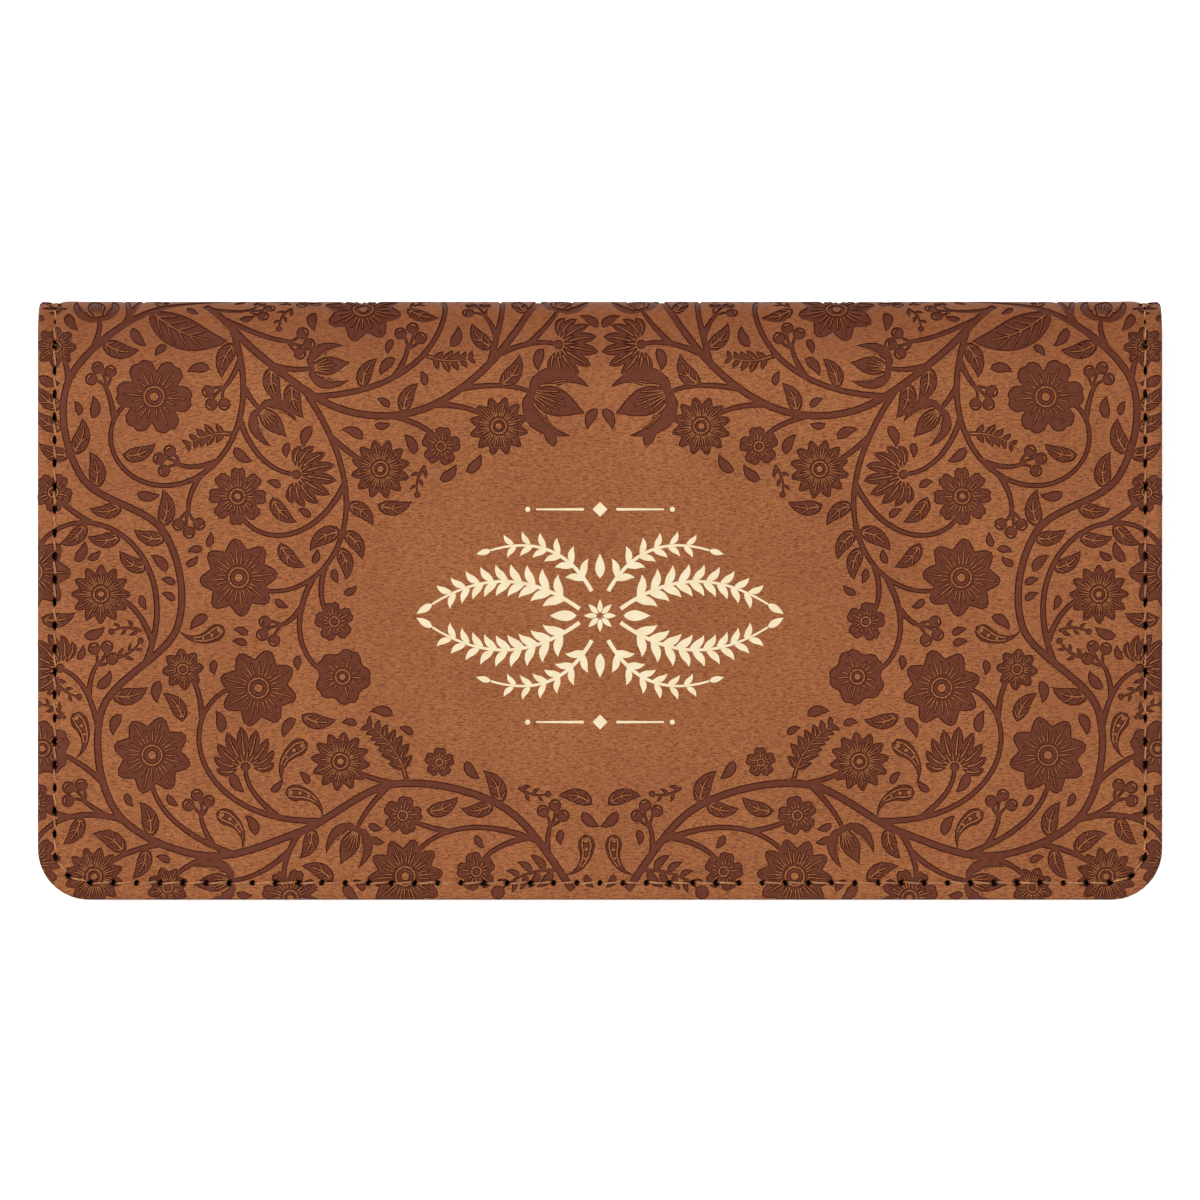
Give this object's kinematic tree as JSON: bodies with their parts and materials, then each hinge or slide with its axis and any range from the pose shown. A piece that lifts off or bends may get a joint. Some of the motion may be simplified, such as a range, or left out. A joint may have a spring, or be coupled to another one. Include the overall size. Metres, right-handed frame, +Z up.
{
  "type": "checkbook cover",
  "caption": "Folding checkbook cover with embossed faux-leather panels, a soft fold, stitched edges, pockets inside for a check pad and a register, and a clear divider.",
  "frame": {"origin": "middle of the footprint, on the surface that the closed cover lies on", "axes": "+X along the fold, towards the right of the picture; +Y from the free edge towards the fold, the top of the picture; +Z up, out of the front panel"},
  "size_m": [0.165, 0.088, 0.012],
  "materials": {
    "outer_leather": "satin",
    "pocket_leather": "satin",
    "lining_cloth": "matte",
    "fibre_board": "matte",
    "thread": "satin",
    "clear_vinyl": "gloss"
  },
  "bodies": {
    "back_panel": {"back_skin": "outer_leather", "back_board": "fibre_board", "back_lining": "lining_cloth", "check_pocket": "pocket_leather", "check_pocket_turned_edge": "pocket_leather", "back_seam_outer_thread": "thread", "back_seam_inner_thread": "thread", "check_pocket_hem_thread": "thread", "divider_tab": "clear_vinyl"},
    "divider": {"divider_flap": "clear_vinyl"},
    "fold_lower": {"fold_skin_lower": "outer_leather", "fold_lining_lower": "lining_cloth", "fold_outer_thread_lower": "thread", "fold_inner_thread_lower": "thread"},
    "fold_upper": {"fold_skin_upper": "outer_leather", "fold_lining_upper": "lining_cloth", "fold_outer_thread_upper": "thread", "fold_inner_thread_upper": "thread"},
    "front_panel": {"front_skin": "outer_leather", "front_board": "fibre_board", "front_lining": "lining_cloth", "register_pocket": "pocket_leather", "register_pocket_turned_edge": "pocket_leather", "front_seam_outer_thread": "thread", "front_seam_inner_thread": "thread", "register_pocket_hem_thread": "thread"}
  },
  "joints": [
    {"name": "fold_bend_back", "type": "hinge", "parent": "back_panel", "child": "fold_lower", "pos_m": [0, 0.04114, 0.00056], "axis": [-1, 0, 0], "range_deg": [0, 60]},
    {"name": "fold_bend_middle", "type": "hinge", "parent": "fold_lower", "child": "fold_upper", "pos_m": [0, 0.04428, 0.006], "axis": [-1, 0, 0], "range_deg": [0, 60]},
    {"name": "fold_bend_front", "type": "hinge", "parent": "fold_upper", "child": "front_panel", "pos_m": [0, 0.04114, 0.01144], "axis": [-1, 0, 0], "range_deg": [0, 60]},
    {"name": "divider_turn", "type": "hinge", "parent": "back_panel", "child": "divider", "pos_m": [0, 0.03497, 0.00308], "axis": [-1, 0, 0], "range_deg": [0, 168]}
  ],
  "couplings": [
    {"joint": "fold_bend_middle", "follows": "fold_bend_back", "ratio": 1},
    {"joint": "fold_bend_front", "follows": "fold_bend_back", "ratio": 1},
    {"joint": "divider_turn", "follows": "fold_bend_back", "ratio": 2.8}
  ]
}
